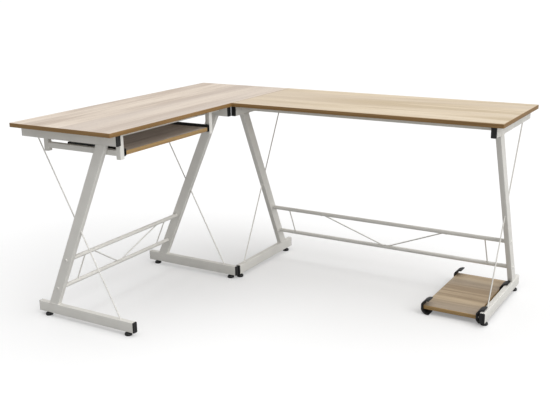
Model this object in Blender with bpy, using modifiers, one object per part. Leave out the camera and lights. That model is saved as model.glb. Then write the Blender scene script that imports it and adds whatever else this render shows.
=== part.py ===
"""Corner desk: two laminated tops in an L on four leaning Z-shaped steel frames.

The desk has a sliding keyboard tray under its left wing and a low stand for a
computer case beside its right-hand frame. Units are metres, +Z is up, and the
origin is on the floor under the centre of the desk's bounding box. The left
wing runs from front to back and the right wing runs to the right.
"""
import math

import bmesh
import bpy
from mathutils import Matrix, Vector

# Overall size
DESK_LENGTH = 1.570        # along X, both wings together
DESK_DEPTH = 1.200         # along Y, the left wing's full length
DESK_HEIGHT = 0.750
WING_DEPTH = 0.470         # front edge to rear edge of either top
TOP_THICKNESS = 0.015
EDGE_ROUNDING = 0.001
GAP = 0.0003               # between pieces that touch

# Rectangular tube of the Z frames, and square tube of rails and tray brackets
TUBE_HEIGHT = 0.040
TUBE_WIDTH = 0.020
TUBE_WALL = 0.0015
TUBE_CORNER = 0.0035
SMALL_TUBE = 0.020
SMALL_WALL = 0.0012
SMALL_CORNER = 0.002

# Z frame, measured along its own length from the tops' rear edge
TOP_REAR = 0.005
TOP_FRONT = 0.455
CORNER_TOP_FRONT = 0.4597  # where the two corner frames' caps meet
FOOT_REAR = 0.012
FOOT_FRONT = 0.475
TUCKED_FOOT_FRONT = 0.4595  # behind the neighbouring frame's foot, in the corner
FRONT_CAP = 0.005          # flange thickness of the caps
REAR_CAP = 0.0015
CAP_PLUG_LENGTH = 0.008
CAP_PLUG_PLAY = 0.0003
FLOOR_CLEARANCE = 0.015    # underside of the foot beams
POST_FOOT_START = 0.065    # rear edge of the post where it meets the foot beam
POST_TOP_START = 0.357     # rear edge of the post where it meets the top beam
ROD_TOP = 0.075            # tie rod's place on the top beam
ROD_FOOT = 0.409           # tie rod's place on the foot beam
ROD_RADIUS = 0.0024
ROD_HOLE_PLAY = 0.0005
GLIDE_REAR = 0.050
GLIDE_FRONT = 0.441
GLIDE_HOLE_RADIUS = 0.0045

# Where the four frames stand: centre line of each
LEFT_END_Y = 0.060         # from the left wing's front end
LEFT_CORNER_Y = 0.730
RIGHT_CORNER_X = WING_DEPTH
RIGHT_END_X = 1.532        # from the desk's left side

# Lower stretchers of each wing: two tubes with thin truss rods between them
STRETCHER_HEIGHTS = (0.243, 0.122)
STRETCHER_RADIUS = 0.008
STRETCHER_WALL = 0.0012
TRUSS_ROD_RADIUS = 0.0025
TRUSS_END_ROD = 0.082      # short rods' distance from the frames
LEFT_V_START = 0.120       # where the V rod leaves the upper tube
RIGHT_V_START = 0.240

# Rails under the tops, distance of their centre line from the rear edge
REAR_RAIL = 0.057
FRONT_RAIL = 0.405

# Keyboard tray, measured from the desk's left side, front end and the floor
TRAY_REAR = 0.200
TRAY_FRONT = 0.448
TRAY_BOTTOM = 0.657
TRAY_THICKNESS = 0.015
BRACKET_REAR = 0.091       # outer ends of the bracket, along X
BRACKET_FRONT = 0.450
BRACKET_OUTER_Y = 0.0703   # outer faces of the two brackets
BRACKET_INNER_Y = 0.6200
BRACKET_FOOT = 0.645       # lower end of the hangers
BRACKET_BAR_BOTTOM = 0.657
PLATE_LENGTH = 0.045
PLATE_THICKNESS = 0.002
RUNNER_REAR = 0.188
RUNNER_FRONT = 0.449
RUNNER_BOTTOM = 0.654
RUNNER_HEIGHT = 0.028
RUNNER_SHEET = 0.0012
RUNNER_FLANGE = 0.009
RUNNER_SLACK = 0.0008
RUNNER_THICKNESS = 0.0112  # both members together

# Computer stand, its right-hand clips round the end frame's foot beam
STAND_LEFT = 1.293
STAND_FRONT = 0.742
STAND_REAR = 1.158
STAND_SETBACK = 0.008      # shelf's front edge behind the clips' ends
SHELF_BOTTOM = 0.020
SHELF_THICKNESS = 0.015
CLIP_LENGTH = 0.044
CLIP_RADIUS = 0.030
CLIP_INSIDE = 0.025
CLIP_BACK = 0.028          # flat outside of the clip's web, from the centre of its round
CLIP_SEAT = 0.0215         # flat inside of the web
CLIP_TIP = 88              # degrees from level where the arms end
HOOK_LOWER_TIP = 54        # the shorter lower arm stops beside the frame's glide
HOOK_HEIGHT = 0.0325       # centre of the hook's round, so that it rests on the beam
HOOK_REAR = 1.0865         # rear end of the rear hook, in front of the post

RIGHT_ANGLE = math.pi / 2
TOP_UNDERSIDE = DESK_HEIGHT - TOP_THICKNESS
FOOT_TOP = FLOOR_CLEARANCE + TUBE_HEIGHT
BEAM_BOTTOM = TOP_UNDERSIDE - TUBE_HEIGHT
TOP_BEAM_MIDDLE = BEAM_BOTTOM + TUBE_HEIGHT / 2 - GAP
FOOT_BEAM_MIDDLE = FLOOR_CLEARANCE + TUBE_HEIGHT / 2
POST_SLOPE = (POST_TOP_START - POST_FOOT_START) / (BEAM_BOTTOM - FOOT_TOP)
POST_SECTION = TUBE_HEIGHT * math.hypot(1, POST_SLOPE)

for old in list(bpy.data.objects):
    bpy.data.objects.remove(old)

desk = bpy.data.collections.new("corner_desk")
bpy.context.scene.collection.children.link(desk)
workshop = bpy.data.collections.new("cutters")
bpy.context.scene.collection.children.link(workshop)


# ---------------------------------------------------------------- materials
def material(name, rgb, roughness, metallic=0.0):
    """A Principled material with one colour, roughness and metallic value."""
    made = bpy.data.materials.new(name)
    made.use_nodes = True
    shader = made.node_tree.nodes["Principled BSDF"]
    shader.inputs["Base Color"].default_value = (*rgb, 1.0)
    shader.inputs["Roughness"].default_value = roughness
    shader.inputs["Metallic"].default_value = metallic
    return made


OAK = (0.66, 0.55, 0.42)
WARM_GREY = (0.58, 0.57, 0.54)
BLACK = (0.015, 0.015, 0.016)


# ---------------------------------------------------------------- modelling helpers
def add(name, mesh, parent=None, location=(0, 0, 0), angle=0.0):
    """An object of the desk, turned about the vertical."""
    made = bpy.data.objects.new(name, mesh)
    desk.objects.link(made)
    made.parent = parent
    made.location = location
    made.rotation_euler.z = angle
    return made


def paint(made, rgb, roughness, metallic=0.0):
    """Give an object a material of its own, on the object and not on its shared mesh."""
    if not made.data.materials:
        made.data.materials.append(None)
    slot = made.material_slots[0]
    slot.link = "OBJECT"
    slot.material = material(made.name, rgb, roughness, metallic)


def steel(made):
    paint(made, WARM_GREY, 0.45)


def plastic(made):
    paint(made, BLACK, 0.5)


def anchor(name, location, angle):
    """An empty that carries a frame or a wing's pieces."""
    made = bpy.data.objects.new(name, None)
    desk.objects.link(made)
    made.location = location
    made.rotation_euler.z = angle
    return made


def arc(centre, radius, start, end, steps):
    """Points along an arc, with angles in degrees."""
    angles = [math.radians(start + (end - start) * i / steps) for i in range(steps + 1)]
    return [(centre[0] + radius * math.cos(a), centre[1] + radius * math.sin(a)) for a in angles]


def rounded_rectangle(width, height, radius, steps=3):
    """Outline of a rectangle about the origin with round corners."""
    x = width / 2 - radius
    y = height / 2 - radius
    corners = ((x, y, 0), (-x, y, 90), (-x, -y, 180), (x, -y, 270))
    return [point for cx, cy, turn in corners for point in arc((cx, cy), radius, turn, turn + 90, steps)]


def scratch(name, data):
    """An object that only serves to make a mesh."""
    made = bpy.data.objects.new(name, data)
    workshop.objects.link(made)
    made.hide_render = True
    made.display_type = "WIRE"
    return made


def finished_mesh(made, name, smooth=True):
    """The object's evaluated mesh with its seams welded; the object is removed."""
    bpy.context.view_layer.update()
    depsgraph = bpy.context.evaluated_depsgraph_get()
    mesh = bpy.data.meshes.new_from_object(made.evaluated_get(depsgraph))
    mesh.name = name
    mesh.transform(made.matrix_world)
    bpy.data.objects.remove(made)
    weld = bmesh.new()
    weld.from_mesh(mesh)
    bmesh.ops.remove_doubles(weld, verts=weld.verts, dist=0.00001)
    bmesh.ops.recalc_face_normals(weld, faces=weld.faces)
    weld.to_mesh(mesh)
    weld.free()
    if smooth:
        mesh.shade_smooth()
        mesh.set_sharp_from_angle(angle=math.radians(35))
    return mesh


def extruded(name, outlines, length):
    """A flat outline, with holes if it has more than one loop, extruded along Z about Z = 0."""
    curve = bpy.data.curves.new(name, "CURVE")
    curve.dimensions = "2D"
    curve.fill_mode = "BOTH"
    curve.extrude = length / 2
    for outline in outlines:
        spline = curve.splines.new("POLY")
        spline.points.add(len(outline) - 1)
        spline.use_cyclic_u = True
        for point, (x, y) in zip(spline.points, outline):
            point.co = (x, y, 0, 1)
    return finished_mesh(scratch(name, curve), name)


def rod(name, points, radius, sides=16):
    """A round bar along straight runs between points, with flat ends."""
    curve = bpy.data.curves.new(name, "CURVE")
    curve.dimensions = "3D"
    curve.bevel_depth = radius
    curve.bevel_resolution = sides // 4
    curve.use_fill_caps = True
    spline = curve.splines.new("POLY")
    spline.points.add(len(points) - 1)
    for point, place in zip(spline.points, points):
        point.co = (*place, 1)
    return finished_mesh(scratch(name, curve), name)


def combined(name, first, others, operation):
    """Join meshes to a first one, or cut them from it, with exact Booleans."""
    made = scratch(name, first)
    helpers = []
    for number, other in enumerate(others):
        helper = scratch(f"{name}_helper_{number}", other)
        helpers.append(helper)
        boolean = made.modifiers.new(f"boolean_{number}", "BOOLEAN")
        boolean.operation = operation
        boolean.object = helper
    mesh = finished_mesh(made, name)
    for helper in helpers:
        bpy.data.objects.remove(helper)
    return mesh


def moved(mesh, location=(0, 0, 0), turn=0.0, axis="Z"):
    """Turn a mesh about an axis through the origin, then move it."""
    mesh.transform(Matrix.Translation(Vector(location)) @ Matrix.Rotation(turn, 4, axis))
    return mesh


def along_x(mesh, location):
    """Stand an extrusion's outline up in the YZ plane, so that it runs along X."""
    mesh.transform(Matrix.Rotation(RIGHT_ANGLE, 4, "Z") @ Matrix.Rotation(RIGHT_ANGLE, 4, "X"))
    return moved(mesh, location)


def box(name, low, high, rounding=0.0):
    """A box between two corners, with its edges rounded if a radius is given."""
    mesh = bpy.data.meshes.new(name)
    shape = bmesh.new()
    bmesh.ops.create_cube(shape, size=1)
    size = [b - a for a, b in zip(low, high)]
    middle = [(a + b) / 2 for a, b in zip(low, high)]
    bmesh.ops.scale(shape, vec=size, verts=shape.verts)
    bmesh.ops.translate(shape, vec=middle, verts=shape.verts)
    shape.to_mesh(mesh)
    shape.free()
    made = scratch(name, mesh)
    if rounding:
        bevel = made.modifiers.new("rounding", "BEVEL")
        bevel.width = rounding
        bevel.segments = 2
    return finished_mesh(made, name)


def tube_section(width, height, corner, wall):
    """Outer and inner outline of a rectangular tube."""
    inner_corner = corner - wall / 2
    return [rounded_rectangle(width, height, corner),
            rounded_rectangle(width - 2 * wall, height - 2 * wall, inner_corner)]


# ---------------------------------------------------------------- Z frame pieces
def beam_mesh(rear, front):
    """A tube along X between two ends, left open for the caps."""
    start = rear + REAR_CAP
    end = front - FRONT_CAP
    section = tube_section(TUBE_WIDTH, TUBE_HEIGHT, TUBE_CORNER, TUBE_WALL)
    return along_x(extruded("beam", section, end - start), ((start + end) / 2, 0, 0))


def foot_beam_mesh(front):
    """The beam with a hole in its lower wall for each glide's stem."""
    holes = []
    for place in (GLIDE_REAR, GLIDE_FRONT):
        low = (place, 0, FLOOR_CLEARANCE - 0.005)
        high = (place, 0, FLOOR_CLEARANCE + 0.005)
        holes.append(rod("glide_hole", (low, high), GLIDE_HOLE_RADIUS))
    beam = moved(beam_mesh(FOOT_REAR, front), (0, 0, FOOT_BEAM_MIDDLE))
    return combined("foot_beam", beam, holes, "DIFFERENCE")


def tie_rod_ends():
    """Centres of the tie rod's two ends, just clear of the beams."""
    top = Vector((ROD_TOP, 0, BEAM_BOTTOM))
    foot = Vector((ROD_FOOT, 0, FOOT_TOP))
    clear = (top - foot).normalized() * (GAP + ROD_RADIUS / 2)
    return top - clear, foot + clear


def post_mesh():
    """A tube of level section, sheared so that it leans and still ends flat on both beams."""
    height = BEAM_BOTTOM - FOOT_TOP
    section = tube_section(POST_SECTION, TUBE_WIDTH, TUBE_CORNER, TUBE_WALL)
    mesh = extruded("post", section, height - 2 * GAP)
    lean = Matrix.Identity(4)
    lean[0][2] = POST_SLOPE
    mesh.transform(lean)
    middle = (POST_FOOT_START + POST_TOP_START + POST_SECTION) / 2
    moved(mesh, (middle, 0, (BEAM_BOTTOM + FOOT_TOP) / 2))
    hole = rod("rod_hole", tie_rod_ends(), ROD_RADIUS + ROD_HOLE_PLAY)
    return combined("post", mesh, [hole], "DIFFERENCE")


def cap_mesh(thickness):
    """An end cap: a flange across the tube's end and a plug inside it, facing +X."""
    flange_size = (TUBE_WIDTH, TUBE_HEIGHT)
    flange = extruded("flange", [rounded_rectangle(*flange_size, TUBE_CORNER)], thickness - GAP)
    plug_size = [side - 2 * (TUBE_WALL + CAP_PLUG_PLAY) for side in flange_size]
    plug_corner = TUBE_CORNER - TUBE_WALL / 2
    plug = extruded("plug", [rounded_rectangle(*plug_size, plug_corner)], CAP_PLUG_LENGTH)
    along_x(flange, ((thickness + GAP) / 2, 0, 0))
    along_x(plug, (GAP * 2 - CAP_PLUG_LENGTH / 2, 0, 0))
    return combined("end_cap", flange, [plug], "UNION")


def glide_mesh():
    """A screw-in glide: a round foot with a neck and a stem, turned about Z."""
    profile = [(0, 0.040), (0.0034, 0.040), (0.004, 0.0392), (0.004, 0.0147), (0.0078, 0.0147),
               (0.0078, 0.0115), (0.0125, 0.0095), (0.014, 0.0075), (0.014, 0.0020), (0.0128, 0), (0, 0)]
    mesh = bpy.data.meshes.new("glide")
    points = [(radius, 0, height) for radius, height in profile]
    mesh.from_pydata(points, [(i, i + 1) for i in range(len(points) - 1)], [])
    made = scratch("glide", mesh)
    screw = made.modifiers.new("turning", "SCREW")
    screw.steps = 20
    screw.render_steps = 20
    screw.use_merge_vertices = True
    screw.merge_threshold = 0.0001
    return finished_mesh(made, "glide")


TOP_BEAMS = {front: moved(beam_mesh(TOP_REAR, front), (0, 0, TOP_BEAM_MIDDLE))
             for front in (TOP_FRONT, CORNER_TOP_FRONT)}
FOOT_BEAMS = {front: foot_beam_mesh(front) for front in (FOOT_FRONT, TUCKED_FOOT_FRONT)}
POST = post_mesh()
TIE_ROD = rod("tie_rod", tie_rod_ends(), ROD_RADIUS, sides=12)
CAPS = {"front": cap_mesh(FRONT_CAP), "rear": cap_mesh(REAR_CAP)}
GLIDE = glide_mesh()


def z_frame(name, location, angle, top_front=TOP_FRONT, foot_front=FOOT_FRONT):
    """One leaning frame with its four end caps and two glides, its length along its own X."""
    frame = anchor(f"{name}_frame", location, angle)
    pieces = {
        "top_beam": TOP_BEAMS[top_front],
        "post": POST,
        "foot_beam": FOOT_BEAMS[foot_front],
        "tie_rod": TIE_ROD,
    }
    for piece, mesh in pieces.items():
        steel(add(f"{name}_{piece}", mesh, frame))
    beams = {
        "top": (TOP_REAR, top_front, TOP_BEAM_MIDDLE),
        "foot": (FOOT_REAR, foot_front, FOOT_BEAM_MIDDLE),
    }
    for level, (rear, front, height) in beams.items():
        plastic(add(f"{name}_{level}_cap_front", CAPS["front"], frame, (front - FRONT_CAP, 0, height)))
        plastic(add(f"{name}_{level}_cap_rear", CAPS["rear"], frame, (rear + REAR_CAP, 0, height), math.pi))
    for end, place in {"front": GLIDE_FRONT, "rear": GLIDE_REAR}.items():
        plastic(add(f"{name}_glide_{end}", GLIDE, frame, (place, 0, 0)))


# ---------------------------------------------------------------- stretchers and rails
def stretcher_places():
    """Each stretcher's place on the posts' centre line, as distance from the rear edge and height."""
    places = []
    for height in STRETCHER_HEIGHTS:
        rear_face = POST_FOOT_START + (height - FOOT_TOP) * POST_SLOPE
        places.append((rear_face + POST_SECTION / 2, height))
    return places


def truss_mesh(span, v_start):
    """Two tubes along Y, welded together by a V rod and a short rod near each end."""
    (upper_x, upper_z), (lower_x, lower_z) = stretcher_places()
    middle = span / 2

    def upper(y):
        return (upper_x, y, upper_z)

    def lower(y):
        return (lower_x, y, lower_z)

    tubes = [rod("tube", (place(GAP), place(span - GAP)), STRETCHER_RADIUS) for place in (upper, lower)]
    runs = [(upper(v_start), lower(middle), upper(span - v_start))]
    runs += [(upper(y), lower(y)) for y in (TRUSS_END_ROD, span - TRUSS_END_ROD)]
    rods = [rod("truss_rod", run, TRUSS_ROD_RADIUS, sides=12) for run in runs]
    welded = combined("truss", tubes[0], [tubes[1]] + rods, "UNION")
    bore = STRETCHER_RADIUS - STRETCHER_WALL
    bores = [rod("bore", (place(-0.01), place(span + 0.01)), bore) for place in (upper, lower)]
    return combined("truss", welded, bores, "DIFFERENCE")


def rail_mesh(span):
    """A square tube along Y, between two frames."""
    section = tube_section(SMALL_TUBE, SMALL_TUBE, SMALL_CORNER, SMALL_WALL)
    mesh = extruded("rail", section, span - 2 * GAP)
    return moved(mesh, (0, span / 2, 0), RIGHT_ANGLE, "X")


def wing(name, location, angle, span, v_start):
    """The welded stretcher truss and the two rails of one wing, its span along its own Y."""
    place = anchor(f"{name}_wing", location, angle)
    steel(add(f"{name}_stretcher_truss", truss_mesh(span, v_start), place))
    rail = rail_mesh(span)
    height = TOP_UNDERSIDE - SMALL_TUBE / 2 - GAP
    for end, distance in {"front": FRONT_RAIL, "rear": REAR_RAIL}.items():
        steel(add(f"{name}_{end}_rail", rail, place, (distance, 0, height)))


# ---------------------------------------------------------------- keyboard tray
def bracket_mesh():
    """Two hangers, the bar between them and a screw plate on each, hollow like the tube it is."""
    half = (BRACKET_FRONT - BRACKET_REAR) / 2
    reach = SMALL_TUBE / 2
    ceiling = TOP_UNDERSIDE - GAP
    hanger_height = ceiling - BRACKET_FOOT
    shapes = []
    hollows = []
    for side in (-1, 1):
        place = (side * (half - reach), 0, BRACKET_FOOT + hanger_height / 2)
        outer, inner = tube_section(SMALL_TUBE, SMALL_TUBE, SMALL_CORNER, SMALL_WALL)
        shapes.append(moved(extruded("hanger", [outer], hanger_height), place))
        hollows.append(moved(extruded("hollow", [inner], hanger_height + 0.01), place))
        low = (place[0] - reach, 0, ceiling - PLATE_THICKNESS)
        high = (place[0] + reach, PLATE_LENGTH - reach, ceiling)
        shapes.append(box("plate", low, high))
    bar = SMALL_TUBE - 0.0002
    hollow = bar - 2 * SMALL_WALL
    bar_place = (0, 0, BRACKET_BAR_BOTTOM + SMALL_TUBE / 2)
    bar_length = 2 * half - SMALL_TUBE
    skin = extruded("bar", [rounded_rectangle(bar, bar, SMALL_CORNER)], bar_length)
    shapes.append(along_x(skin, bar_place))
    bore = extruded("bore", [rounded_rectangle(hollow, hollow, SMALL_CORNER / 2)], bar_length)
    hollows.append(along_x(bore, bar_place))
    solid = combined("bracket", shapes[0], shapes[1:], "UNION")
    return combined("bracket", solid, hollows, "DIFFERENCE")


def channel(height, flange, sheet):
    """Outline of a C channel, its web along Y = 0 and its flanges towards +Y."""
    top = height / 2
    return [(0, -top), (flange, -top), (flange, sheet - top), (sheet, sheet - top),
            (sheet, top - sheet), (flange, top - sheet), (flange, top), (0, top)]


def runner_meshes():
    """The fixed member on the bracket and the moving member nested in it, both along X."""
    length = RUNNER_FRONT - RUNNER_REAR
    fixed_outline = channel(RUNNER_HEIGHT, RUNNER_FLANGE, RUNNER_SHEET)
    nested = RUNNER_HEIGHT - 2 * (RUNNER_SHEET + RUNNER_SLACK)
    depth = RUNNER_THICKNESS - RUNNER_SHEET - 2 * RUNNER_SLACK
    moving_outline = channel(nested, depth, RUNNER_SHEET)
    fixed = along_x(extruded("runner_fixed", [fixed_outline], length), (0, 0, 0))
    moving = along_x(extruded("runner_moving", [moving_outline], length), (0, 0, 0))
    return fixed, moved(moving, (0, RUNNER_THICKNESS, 0), math.pi)


def keyboard_tray(corner):
    """The tray, its two runners and the two brackets that hang from the left top."""
    x, y = corner
    bracket = bracket_mesh()
    fixed, moving = runner_meshes()
    bracket_x = x + (BRACKET_REAR + BRACKET_FRONT) / 2
    runner_x = x + (RUNNER_REAR + RUNNER_FRONT) / 2
    runner_z = RUNNER_BOTTOM + RUNNER_HEIGHT / 2
    faces = []
    sides = {"outer": (y + BRACKET_OUTER_Y, 1, 0.0), "inner": (y + BRACKET_INNER_Y, -1, math.pi)}
    for name, (face, inward, angle) in sides.items():
        middle = face + inward * SMALL_TUBE / 2
        steel(add(f"tray_bracket_{name}", bracket, None, (bracket_x, middle, 0), angle))
        web = face + inward * (SMALL_TUBE + GAP)
        plastic(add(f"runner_{name}_fixed", fixed, None, (runner_x, web, runner_z), angle))
        plastic(add(f"runner_{name}_moving", moving, None, (runner_x, web, runner_z), angle))
        faces.append(web + inward * (RUNNER_THICKNESS + GAP))
    low = (x + TRAY_REAR, faces[0], TRAY_BOTTOM)
    high = (x + TRAY_FRONT, faces[1], TRAY_BOTTOM + TRAY_THICKNESS)
    paint(add("keyboard_tray", box("keyboard_tray", low, high, EDGE_ROUNDING)), OAK, 0.5)


# ---------------------------------------------------------------- computer stand
def clip_mesh(lower_tip):
    """A moulded clip: a C-shaped band, open to +X, with a flat web, about the centre of its round."""
    back = math.degrees(math.acos(CLIP_BACK / CLIP_RADIUS))
    seat = math.degrees(math.acos(CLIP_SEAT / CLIP_INSIDE))
    centre = (0, 0)
    wall = (CLIP_RADIUS + CLIP_INSIDE) / 2
    tip = (CLIP_RADIUS - CLIP_INSIDE) / 2

    def tip_centre(angle):
        turn = math.radians(angle)
        return (wall * math.cos(turn), wall * math.sin(turn))

    outline = arc(centre, CLIP_RADIUS, CLIP_TIP, 180 - back, 10)
    outline += arc(centre, CLIP_RADIUS, 180 + back, 360 - lower_tip, 10)
    outline += arc(tip_centre(-lower_tip), tip, -lower_tip, 180 - lower_tip, 4)[1:-1]
    outline += arc(centre, CLIP_INSIDE, 360 - lower_tip, 180 + seat, 8)
    outline += arc(centre, CLIP_INSIDE, 180 - seat, CLIP_TIP, 8)
    outline += arc(tip_centre(CLIP_TIP), tip, CLIP_TIP + 180, CLIP_TIP + 360, 4)[1:-1]
    mesh = extruded("clip", [outline], CLIP_LENGTH)
    return moved(mesh, (0, 0, 0), RIGHT_ANGLE, "X")


def computer_stand(corner):
    """A shelf on two clips that stand on the floor and two that hook over the frame's foot beam."""
    x, y = corner
    half = CLIP_LENGTH / 2
    columns = {
        "left": (clip_mesh(CLIP_TIP), STAND_LEFT + CLIP_BACK, CLIP_RADIUS),
        "right": (clip_mesh(180 - HOOK_LOWER_TIP), RIGHT_END_X, HOOK_HEIGHT),
    }
    rear_ends = {"left": STAND_REAR, "right": HOOK_REAR}
    for column, (mesh, clip_x, height) in columns.items():
        rows = {"front": STAND_FRONT + half, "rear": rear_ends[column] - half}
        for row, clip_y in rows.items():
            plastic(add(f"stand_foot_{row}_{column}", mesh, None, (x + clip_x, y + clip_y, height)))
    shelf_left = STAND_LEFT + CLIP_BACK - CLIP_SEAT + GAP
    shelf_right = RIGHT_END_X - CLIP_BACK - GAP
    low = (x + shelf_left, y + STAND_FRONT + STAND_SETBACK, SHELF_BOTTOM)
    high = (x + shelf_right, y + STAND_REAR - STAND_SETBACK, SHELF_BOTTOM + SHELF_THICKNESS)
    paint(add("stand_shelf", box("stand_shelf", low, high, EDGE_ROUNDING)), OAK, 0.5)


# ---------------------------------------------------------------- tops
def tops(corner):
    """The left top runs the full depth; the right top butts against its inner side."""
    x, y = corner
    levels = (TOP_UNDERSIDE, DESK_HEIGHT)
    spans = {
        "left_top_panel": ((x, y), (x + WING_DEPTH, y + DESK_DEPTH)),
        "right_top_panel": (
            (x + WING_DEPTH + GAP, y + DESK_DEPTH - WING_DEPTH),
            (x + DESK_LENGTH, y + DESK_DEPTH),
        ),
    }
    for name, (low, high) in spans.items():
        panel = box(name, (*low, levels[0]), (*high, levels[1]), EDGE_ROUNDING)
        paint(add(name, panel), OAK, 0.5)


# ---------------------------------------------------------------- assembly
# The left wing's front left corner on the floor
CORNER = (-DESK_LENGTH / 2, -DESK_DEPTH / 2)
LEFT_X, FRONT_Y = CORNER
REAR_Y = FRONT_Y + DESK_DEPTH
HALF_TUBE = TUBE_WIDTH / 2

tops(CORNER)
z_frame("left_end", (LEFT_X, FRONT_Y + LEFT_END_Y, 0), 0.0)
z_frame("left_corner", (LEFT_X, FRONT_Y + LEFT_CORNER_Y, 0), 0.0, CORNER_TOP_FRONT)
RIGHT_CORNER = (LEFT_X + RIGHT_CORNER_X, REAR_Y, 0)
z_frame("right_corner", RIGHT_CORNER, -RIGHT_ANGLE, CORNER_TOP_FRONT, TUCKED_FOOT_FRONT)
z_frame("right_end", (LEFT_X + RIGHT_END_X, REAR_Y, 0), -RIGHT_ANGLE)

LEFT_START = LEFT_END_Y + HALF_TUBE
RIGHT_START = RIGHT_CORNER_X + HALF_TUBE
LEFT_SPAN = LEFT_CORNER_Y - LEFT_END_Y - TUBE_WIDTH
RIGHT_SPAN = RIGHT_END_X - RIGHT_CORNER_X - TUBE_WIDTH
wing("left", (LEFT_X, FRONT_Y + LEFT_START, 0), 0.0, LEFT_SPAN, LEFT_V_START)
wing("right", (LEFT_X + RIGHT_START, REAR_Y, 0), -RIGHT_ANGLE, RIGHT_SPAN, RIGHT_V_START)

keyboard_tray(CORNER)
computer_stand(CORNER)
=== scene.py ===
# %% [markdown]
# # A corner desk in steel and oak laminate
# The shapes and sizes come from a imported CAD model. Here each part gets the surface a visitor would
# see: boards with a printed oak face and a plastic edge band, frames of powder-coated tube with weld
# beads, moulded caps and feet, screws. Every new piece is a surface worked out with numpy.

import math

import bmesh
import bpy
import numpy as np
from mathutils import Matrix, Vector


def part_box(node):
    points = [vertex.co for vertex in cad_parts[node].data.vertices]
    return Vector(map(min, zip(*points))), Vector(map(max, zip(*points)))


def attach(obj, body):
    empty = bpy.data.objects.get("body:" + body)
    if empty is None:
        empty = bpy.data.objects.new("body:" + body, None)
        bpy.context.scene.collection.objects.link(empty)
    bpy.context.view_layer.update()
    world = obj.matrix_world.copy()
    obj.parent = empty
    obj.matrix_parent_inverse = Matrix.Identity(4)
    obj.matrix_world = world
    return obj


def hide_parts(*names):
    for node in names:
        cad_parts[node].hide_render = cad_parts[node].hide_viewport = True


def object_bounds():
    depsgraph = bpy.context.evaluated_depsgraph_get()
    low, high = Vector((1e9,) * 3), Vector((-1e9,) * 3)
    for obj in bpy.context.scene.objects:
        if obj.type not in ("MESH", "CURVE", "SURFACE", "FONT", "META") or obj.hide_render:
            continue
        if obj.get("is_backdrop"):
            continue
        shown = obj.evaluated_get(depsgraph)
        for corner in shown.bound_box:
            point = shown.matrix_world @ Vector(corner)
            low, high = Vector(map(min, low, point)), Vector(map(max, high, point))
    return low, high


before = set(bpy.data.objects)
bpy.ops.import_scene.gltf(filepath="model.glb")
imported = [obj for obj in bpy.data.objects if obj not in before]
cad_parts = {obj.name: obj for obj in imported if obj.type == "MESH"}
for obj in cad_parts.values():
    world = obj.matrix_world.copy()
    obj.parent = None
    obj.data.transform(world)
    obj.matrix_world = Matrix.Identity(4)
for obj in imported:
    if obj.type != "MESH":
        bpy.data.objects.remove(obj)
cad_low, cad_high = (np.array(corner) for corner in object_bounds())
print("CAD box from", cad_low.round(4), "to", cad_high.round(4))

# %% [markdown]
# ## The camera
# A camera looks along its own -Z. Turning it by 90 degrees less the downward tilt about X, then by the
# heading about Z, aims it; a last small turn about its own axis levels the picture.

# %% Aim the camera
SENSOR_WIDTH = 36.0
LENS = 55.147
CAMERA_PLACE = (1.5538, -2.6768, 1.2670)
HEADING = math.radians(30.796)
TILT_DOWN = math.radians(15.745)
ROLL = math.radians(-0.874)

camera = bpy.data.objects.new("camera", bpy.data.cameras.new("camera"))
camera.data.sensor_width = SENSOR_WIDTH
camera.data.lens = LENS
aim = Matrix.Rotation(HEADING, 4, "Z") @ Matrix.Rotation(math.pi / 2 - TILT_DOWN, 4, "X")
camera.matrix_world = Matrix.Translation(CAMERA_PLACE) @ aim @ Matrix.Rotation(ROLL, 4, "Z")
bpy.context.scene.collection.objects.link(camera)
bpy.context.scene.camera = camera
print("camera", LENS, "mm at", CAMERA_PLACE)

# %% [markdown]
# ## Colour and shader helpers
# Colours are written as the sRGB hex values one reads off a paint chart. Shaders calculate in linear
# light, so one function converts them. One more function adds a node with its options and inputs, so
# that each material below reads as a list of what it is made of.

# %% Colour and node helpers
def linear(hex_colour):
    """sRGB to linear light: c / 12.92 up to 0.04045, and ((c + 0.055) / 1.055) ** 2.4 above it."""
    channels = np.array([int(hex_colour[i:i + 2], 16) for i in (1, 3, 5)]) / 255
    straight = channels / 12.92
    curved = ((channels + 0.055) / 1.055) ** 2.4
    return (*np.where(channels <= 0.04045, straight, curved), 1.0)


def add_node(material, kind, options=None, inputs=None):
    """One shader node: options are its own settings, inputs are values to set or sockets to link."""
    node = material.node_tree.nodes.new("ShaderNode" + kind)
    for option, value in (options or {}).items():
        setattr(node, option, value)
    for socket, value in (inputs or {}).items():
        if isinstance(value, bpy.types.NodeSocket):
            material.node_tree.links.new(value, node.inputs[socket])
        else:
            node.inputs[socket].default_value = value
    return node


def new_material(name, **sockets):
    """A material with its Principled shader, whose constant sockets are given by name."""
    material = bpy.data.materials.new(name)
    material.use_nodes = True
    shader = material.node_tree.nodes["Principled BSDF"]
    for socket, value in sockets.items():
        shader.inputs[socket.replace("_", " ")].default_value = value
    return material, shader


def link(material, output, socket):
    material.node_tree.links.new(output, socket)


# %% [markdown]
# ## Floor and light
# A white studio floor that runs far past the picture gives the plain background. One very soft sun from
# above stands for a large ceiling softbox, and a weaker one for a softbox on the right; unlike area
# lights they are as strong far away as near, so the floor stays evenly white. The sky fills in the rest.
# The floor is a light table: it glows a little, which keeps shadows pale. It throws back less light than
# it shows, as if grey cloth lay round the set, or the undersides would be as bright as the tops.

# %% Floor, suns and sky
FLOOR_REACH = 80.0
FLOOR_DROP = 0.0002
WHITE_SHEET = "#dedede"
THROWN_BACK = "#a6a6a6"
TABLE_GLOW = 0.22
SKY_STRENGTH = 0.50
SUNS = {"ceiling_softbox": (1.62, 80, (0.20, 0.05, 1.0)), "side_softbox": (1.30, 55, (1.0, -0.12, 0.40))}

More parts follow.
